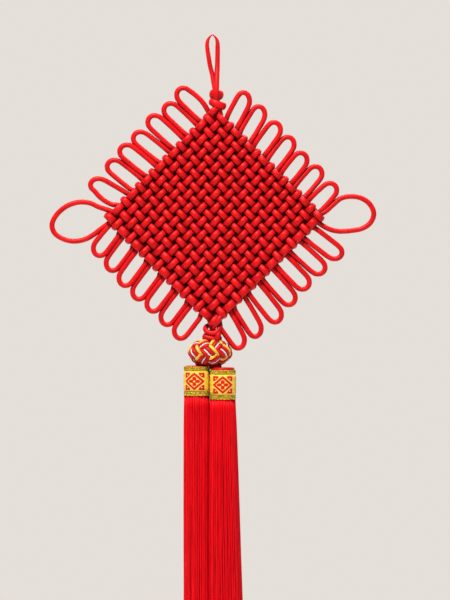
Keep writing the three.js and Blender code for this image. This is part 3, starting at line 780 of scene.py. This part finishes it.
# The small knots' other cords: half width, half depth, whether the cord closes, and its places.
TOP_CORDS = [
    (2.4, 2.4, False, [(215, 87.5, -1.8), (215.3, 96, -1.8), (215.7, 107, -1.6), (216.2, 116, -0.5)]),
    (2.3, 2.3, False, [(217, 96, 1.2), (218, 105, 1.2), (219.6, 110, 0.6), (221, 116, 0)]),
]
LOW_CORDS = [
    # The turn that shows as a curl open to the top, and the one below it.
    (2.45, 2.3, True, [
        (207.5, 326, -2.8), (205.2, 328.6, 0.6), (207.0, 331.4, 3.2), (210.6, 333.0, 4.4),
        (214.4, 333.0, 4.7), (217.6, 331.0, 4.2), (219.6, 327.8, 2.8), (220.2, 325, 0.4),
        (217, 324.6, -3.2), (212, 325, -4.4),
    ]),
    (2.9, 2.4, True, [
        (208, 334.6, -3), (205.4, 335.8, -0.6), (204.8, 337.2, 2), (208, 338.0, 3.6), (212, 338.8, 4),
        (216.4, 339.4, 3.2), (219.4, 338.8, 0.4), (218, 336.8, -3), (212.6, 335.2, -4.3),
    ]),
    # The cords that come out of the diamond, the first of them round its tip.
    (2.35, 2.0, False, [
        (221, 316, 5.2), (218, 320.6, 6.2), (214.8, 325.6, 4.8), (212.6, 329.6, 1.4), (211.8, 334, 0),
    ]),
    (2.1, 2.0, False, [
        (207.4, 315, 1), (209.2, 320, 1.6), (210.6, 325, 1.4), (212, 330, 0.6), (213, 336, 0),
    ]),
    # The two that go on into the round knot.
    (2.75, 2.5, False, [
        (219, 321, -1), (219.8, 326, 0.4), (219.4, 330, 2.0), (218, 335, 4.4), (216.6, 340, 4),
        (215.8, 346, 0),
    ]),
    (3.0, 2.4, False, [(213, 333, -1.4), (214, 340, -1.2), (214.4, 347, -0.6)]),
]


def make_small_knots(paint):
    top, low = Shape(), Shape()
    for turn in TOP_TURNS:
        turn_of_cord(top, *turn)
    for shape, cords in ((top, TOP_CORDS), (low, LOW_CORDS)):
        for wide, deep, closed, points in cords:
            knot_cord(shape, points, wide, deep, closed)
    top.piece("top_knot_cord", paint, "satin_cord", "top_knot")
    low.piece("lower_knot_cord", paint, "satin_cord", "lower_knot")


# The round knot: a band of five cords that weaves four times round and turns seven times up and down. It
# goes up to latitude BALL_TILT and rises and sinks by BALL_RISE where it passes over and under itself.
BALL_X, BALL_Z = -2.2, -291.5
BALL_HALF = np.array([17.5, 12.3, 10.0])
BALL_LEADS, BALL_BIGHTS = 4, 7
BALL_TILT = 0.88
BALL_RISE = 1.55
BALL_TURN = math.radians(3)
BALL_STEPS, BALL_SIDES = 560, 10
# The band's cords: how far above its middle they lie, half their thickness and how far they stand out.
BALL_CORDS = [
    ("yellow", [4.7], 1.75, 0.0),
    ("red_outer", [1.5], 1.85, 0.0),
    ("white", [-0.5, -1.12], 0.3, 1.0),
    ("red_inner", [-3.1], 1.85, 0.0),
]
# The core inside: radii and heights, and its sides. Then the turn of cord under the knot at the left.
BALL_CORE = [
    (0.1, -8.6), (6, -8.4), (11.5, -6), (14.2, -2.5), (14.8, 0), (14.2, 2.5), (11.5, 6), (6, 8.4),
    (0.1, 8.6),
]
CORE_SIDES = 40
FOOT_TURN = (-8.9, -301.5, 5.0, 4.4, 2.3, 2.3, 0, 0.0)


def ball_path(offset, lift):
    """The way of one of the band's cords round the knot, and its outward directions."""
    turn = np.linspace(0, 2 * math.pi * BALL_LEADS, BALL_STEPS, endpoint=False)
    wave = BALL_BIGHTS / BALL_LEADS * (turn + math.pi / 2 + BALL_TURN) + math.pi
    latitude = BALL_TILT * np.sin(wave)
    spoke = [np.cos(turn) * np.cos(latitude), np.sin(turn) * np.cos(latitude), np.sin(latitude)]
    middle = np.stack(spoke, axis=1) * BALL_HALF
    ahead = tangents(middle, closed=True)
    out = unit(middle / BALL_HALF**2)
    across = unit(np.cross(out, ahead))
    side = middle + across * offset
    reach = np.linalg.norm(side / BALL_HALF, axis=1, keepdims=True)
    side = side / reach
    out = unit(side / BALL_HALF**2)
    rise = -BALL_RISE * np.sin((BALL_LEADS - 1) * (wave - math.pi / 2))[:, None] + lift
    return side + out * rise + np.array([BALL_X, 0, BALL_Z]), out


def make_ball(paints):
    for name, offsets, half, lift in BALL_CORDS:
        shape = Shape()
        for offset in offsets:
            path, out = ball_path(offset, lift)
            shape.tube(path, out, half, half, sides=BALL_SIDES, closed=True)
        if name == "red_inner":
            shape.lathe(0, 0, 0, BALL_CORE, CORE_SIDES)
            squash = BALL_HALF[1] / BALL_HALF[0]
            shape.points[-1] = shape.points[-1] * [1, squash, 1] + [BALL_X, 0, BALL_Z]
            turn_of_cord(shape, *FOOT_TURN)
        shape.piece("ball_cord_" + name, paints[name.split("_")[0]], "ball_cord", "ball_knot")


# The tassels: the middle and top of each head, how far its rim stands over that, the middle and half width
# of the cord that it hangs on, how much its skirt widens (as a share) and drifts aside towards its lower
# end, and how far its label is turned (as a share of a turn).
TASSELS = {
    "left": {
        "x": -14.4, "y": 2.2, "top": -303.9, "rim": 0.2, "cord_x": -7.6, "cord_half": 4.0,
        "flare": 0.02, "drift": 0.0, "label_turn": 0.03,
    },
    "right": {
        "x": 9.4, "y": -2.2, "top": -306.1, "rim": 0.9, "cord_x": 2.4, "cord_half": 5.9,
        "flare": 0.6, "drift": 5.0, "label_turn": 0.0,
    },
}
HEAD_RADIUS, HEAD_HEIGHT = 10.9, 28.8
HEAD_SIDES, NECK_DEPTH = 64, 2.4
# The silk wound round the head: its turns, how far they stand out, and the radius of the rounded rim.
WINDINGS, WINDING_RELIEF, RIM_RADIUS = 26, 0.12, 1.2

# The skirts. Near the head the threads are drawn in to the share HEAD_PINCH, over FLARE_LENGTH.
SKIRT_LENGTH = 360.0
SKIRT_RADIUS, HEAD_PINCH, FLARE_LENGTH = 11.8, 0.965, 26.0
SKIRT_OVERLAP = 1.2
# Each thread's stations crowd towards the head and the threads towards the rim, by these powers. They
# follow one another round by the golden angle.
THREADS, THREAD_STATIONS = 560, 16
STATION_POWER, RIM_POWER = 1.3, 0.42
GOLDEN_ANGLE, STRAY_ANGLE = 2.399963, 0.06
# Half a thread's thickness, how it varies, how much wider than thick it is and how far its looks vary.
THREAD_HALF, THREAD_RANGE, THREAD_WIDER, THREAD_MARKS = 0.42, (0.85, 1.25), 1.35, 40
# How threads differ in length, drift and sway. Those of a lock hang together: each wave round the skirt
# has its count, its phase and its height.
LENGTH_RANGE, LENGTH_WAVE, LENGTH_WAVES = (-4, 2), 2.5, 3
LOCK_WAVES = [(7, 1.3, 0.25), (12, 0.0, 0.1)]
DRIFT, SWAY, SWAY_WAVES = 0.7, 0.35, 9


def make_skirt(name, tassel, paint):
    dice = random.Random(name)
    shape = Shape()
    foot = tassel["top"] - HEAD_HEIGHT
    shares = np.linspace(0, 1, THREAD_STATIONS) ** STATION_POWER
    spread = HEAD_PINCH + (1 - HEAD_PINCH) * smoothstep(shares * SKIRT_LENGTH / FLARE_LENGTH)
    for k in range(THREADS):
        share = (k + 0.5) / THREADS
        radius = SKIRT_RADIUS * share**RIM_POWER
        angle = k * GOLDEN_ANGLE + dice.uniform(-STRAY_ANGLE, STRAY_ANGLE)
        length = SKIRT_LENGTH + dice.uniform(*LENGTH_RANGE) + LENGTH_WAVE * math.sin(angle * LENGTH_WAVES)
        lock = sum(height * math.sin(angle * count + phase) for count, phase, height in LOCK_WAVES)
        drift_x, drift_y = dice.uniform(-DRIFT, DRIFT), dice.uniform(-DRIFT, DRIFT)
        phase = dice.uniform(0, 2 * math.pi)
        r = (radius + lock * shares * share) * (spread + tassel["flare"] * shares)
        sway = SWAY * np.sin(phase + shares * SWAY_WAVES) * shares
        x = tassel["x"] + tassel["drift"] * shares + r * math.cos(angle) + drift_x * shares + sway
        y = tassel["y"] + r * math.sin(angle) + drift_y * shares
        z = foot + SKIRT_OVERLAP - shares * (length + SKIRT_OVERLAP)
        outward = (math.cos(angle), math.sin(angle), 0)
        half = THREAD_HALF * dice.uniform(*THREAD_RANGE)
        thread = np.stack([x, y, z], axis=1)
        mark = dice.uniform(0, THREAD_MARKS)
        shape.tube(thread, outward, half * THREAD_WIDER, half, sides=4, mark=mark)
    shape.piece("skirt_" + name, paint, "silk", "tassel_" + name)


def make_head(name, tassel, paint):
    """The bound head: a wound drum with a rounded top, and the cord that it hangs on."""
    top, foot = tassel["top"], tassel["top"] - HEAD_HEIGHT
    shape = Shape()
    profile = [(0.1, 0), (HEAD_RADIUS, 0)]
    tall = HEAD_HEIGHT + tassel["rim"]
    low_rim, inner_rim = tall - RIM_RADIUS, HEAD_RADIUS - RIM_RADIUS
    for k in range(WINDINGS * 4):
        height = k / (WINDINGS * 4) * low_rim
        profile.append((HEAD_RADIUS + WINDING_RELIEF * math.sin(k * math.pi / 2), height))
    for degrees in range(0, 91, 15):
        angle = math.radians(degrees)
        height = low_rim + RIM_RADIUS * math.sin(angle)
        profile.append((inner_rim + RIM_RADIUS * math.cos(angle), height))
    profile += [(6, tall - 0.2), (0.1, tall - 0.4)]
    shape.lathe(tassel["x"], tassel["y"], foot, profile, HEAD_SIDES)
    x = tassel["cord_x"]
    neck = spline([(x, 0, top - 1), (x + 0.1, 0, top + 2), (x, 0, top + 6)], BEND_STEPS)
    shape.tube(neck, FRONT, tassel["cord_half"], NECK_DEPTH)
    shape.piece("head_" + name, paint, "silk", "tassel_" + name)


# The bands lie this far off the head. The brocade swells outwards between its edges, at even heights.
SEAT_GAP = 0.3
LABEL_SWELL = [0.0, 0.08, 0.12, 0.14, 0.12, 0.08, 0.0]
LABEL_SIDES = 96
# The metallic braid: its cords, the points of each, its plaits, how far off the band's inner face the
# middles of its edge cords and of the others lie, and each cord's half sizes with what a plait adds.
BRAID_CORDS, BRAID_POINTS, BRAID_SIDES, BRAID_PLAITS = 4, 144, 8, 36
BRAID_EDGE_OUT, BRAID_MIDDLE_OUT = 0.5, 0.42
BRAID_TALL, BRAID_THICK = (0.86, 0.16), (0.34, 0.2)


def heights(node):
    """The lowest and highest place of a node of the frame, in millimetres."""
    low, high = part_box(node)
    return low[2] / MM, high[2] / MM


def make_label(name, tassel, paint):
    """The brocade band: a thin sheet round the head."""
    low, high = heights("label_" + name)
    height = high - low
    last = len(LABEL_SWELL) - 1
    outside = [(LABEL_RADIUS + swell, height * k / last) for k, swell in enumerate(LABEL_SWELL)]
    inner = HEAD_RADIUS + SEAT_GAP
    profile = outside + [(inner, height), (inner, 0)]
    shape = Shape()
    turn = tassel["label_turn"]
    shape.lathe(tassel["x"], tassel["y"], low, profile, LABEL_SIDES, closed=True, turn=turn)
    label = shape.piece("label_cloth_" + name, paint, "brocade", "label_" + name)


def make_braid(name, which, tassel, paint):
    """A metallic braid: a narrow band of raised cords, each with small even swells, as if plaited."""
    low, high = heights(f"braid_{name}_{which}")
    half = (high - low) / BRAID_CORDS / 2
    angles = np.linspace(0, 2 * math.pi, BRAID_POINTS, endpoint=False)
    out = np.stack([np.sin(angles), -np.cos(angles), 0 * angles], axis=1)
    shape = Shape()
    for c in range(BRAID_CORDS):
        edge = c in (0, BRAID_CORDS - 1)
        radius = HEAD_RADIUS + SEAT_GAP + (BRAID_EDGE_OUT if edge else BRAID_MIDDLE_OUT)
        path = out * radius + [tassel["x"], tassel["y"], low + half * (2 * c + 1)]
        plait = 0.5 + 0.5 * np.sin(angles * BRAID_PLAITS + c * math.pi)
        tall = half * (BRAID_TALL[0] + BRAID_TALL[1] * plait)
        thick = BRAID_THICK[0] + BRAID_THICK[1] * plait
        shape.tube(path, out, tall, thick, sides=BRAID_SIDES, closed=True)
    shape.piece(f"braid_cords_{name}_{which}", paint, "gold_braid", f"braid_{name}_{which}")


# The stage: a pale floor, soft lights and a camera square to the front. Lengths here are in metres.
FLOOR_HALF, FLOOR_BELOW = 1.5, 0.02


def make_floor():
    lowest = cad_box[0][2] - FLOOR_BELOW
    mesh = bpy.data.meshes.new("floor")
    size = FLOOR_HALF
    corners = [(-size, -size, lowest), (size, -size, lowest), (size, size, lowest), (-size, size, lowest)]
    mesh.from_pydata(corners, [], [(0, 1, 2, 3)])
    floor = bpy.data.objects.new("floor", mesh)
    paint = Paint("pale_floor", Roughness=0.8)
    paint.colour(paint.mix(paint.noise(FLOOR_SCALE), grey(0.78), grey(0.82)))
    mesh.materials.append(paint.material)
    bpy.context.scene.collection.objects.link(floor)


def aim(thing, place, target):
    thing.location = place
    away = [a - b for a, b in zip(place, target)]
    thing.rotation_euler = (
        math.atan2(math.hypot(away[0], away[1]), away[2]),
        0,
        math.atan2(away[0], -away[1]),
    )


# The camera sees this height at this place.
VIEW_HEIGHT = 0.552
VIEW_CENTRE = (0.0115, 0.0, -0.2433)
CAMERA_DISTANCE = 2.6
SENSOR = 36.0


def make_camera():
    data = bpy.data.cameras.new("camera")
    data.sensor_width = SENSOR
    data.lens = SENSOR * CAMERA_DISTANCE / VIEW_HEIGHT
    camera = bpy.data.objects.new("camera", data)
    bpy.context.scene.collection.objects.link(camera)
    aim(camera, (VIEW_CENTRE[0], -CAMERA_DISTANCE, VIEW_CENTRE[2]), VIEW_CENTRE)
    bpy.context.scene.camera = camera


# Each light: its place, width, power and tint.
LIGHTS = [
    ("key", (-0.3, -0.95, 1.2), 0.42, 66.0, (1.0, 0.985, 0.96)),
    ("fill", (0.7, -1.5, 0.1), 1.2, 4.0, (1.0, 0.99, 0.98)),
    ("top", (0.2, 0.5, 0.7), 0.6, 10.0, (1.0, 1.0, 1.0)),
]
# The surroundings are bright behind the knot and dim before it, and change over between these places.
BRIGHT_BEHIND, DIM_BEFORE = (0.78, 0.74, 0.69, 1.0), (0.2, 0.195, 0.19, 1.0)
DIM_UP_TO, BRIGHT_FROM = -0.35, 0.3


def make_lights():
    for name, place, size, power, tint in LIGHTS:
        data = bpy.data.lights.new(name, "AREA")
        data.shape = "DISK"
        data.size = size
        data.energy = power
        data.color = tint
        light = bpy.data.objects.new(name, data)
        bpy.context.scene.collection.objects.link(light)
        aim(light, place, VIEW_CENTRE)
    world = bpy.data.worlds.new("studio")
    world.use_nodes = True
    tree = world.node_tree
    direction = tree.nodes.new("ShaderNodeTexCoord")
    split = tree.nodes.new("ShaderNodeSeparateXYZ")
    share = tree.nodes.new("ShaderNodeMapRange")
    share.interpolation_type = "SMOOTHSTEP"
    share.inputs["From Min"].default_value = DIM_UP_TO
    share.inputs["From Max"].default_value = BRIGHT_FROM
    tint = tree.nodes.new("ShaderNodeMix")
    tint.data_type = "RGBA"
    tint.inputs[6].default_value = DIM_BEFORE
    tint.inputs[7].default_value = BRIGHT_BEHIND
    tree.links.new(direction.outputs["Generated"], split.inputs[0])
    tree.links.new(split.outputs["Y"], share.inputs["Value"])
    tree.links.new(share.outputs[0], tint.inputs[0])
    tree.links.new(tint.outputs[2], tree.nodes["Background"].inputs[0])
    bpy.context.scene.world = world
    bpy.context.scene.view_settings.view_transform = "Standard"


make_camera()
make_lights()
make_floor()
satin = cord_paint("satin_cord", RED, DEEP_RED, RED_GLOSS)
make_diamond(satin)
make_ears(satin)
make_hanging_loop(satin)
make_small_knots(satin)
make_ball(
    {
        "red": cord_paint("ball_red", BALL_RED, DEEP_RED, RED_GLOSS, turns=6.0, lay=1.5),
        "yellow": cord_paint("ball_yellow", YELLOW, DEEP_YELLOW, YELLOW_GLOSS, turns=6.0, lay=1.5),
        "white": cord_paint("ball_white", WHITE, OFF_WHITE, WHITE_GLOSS, turns=4.0, lay=1.0),
    }
)
silk, brocade, gold = silk_paint(), brocade_paint(), braid_paint()
for tassel_name, tassel_row in TASSELS.items():
    make_skirt(tassel_name, tassel_row, silk)
    make_head(tassel_name, tassel_row, satin)
    make_label(tassel_name, tassel_row, brocade)
    for level in ("upper", "lower"):
        make_braid(tassel_name, level, tassel_row, gold)
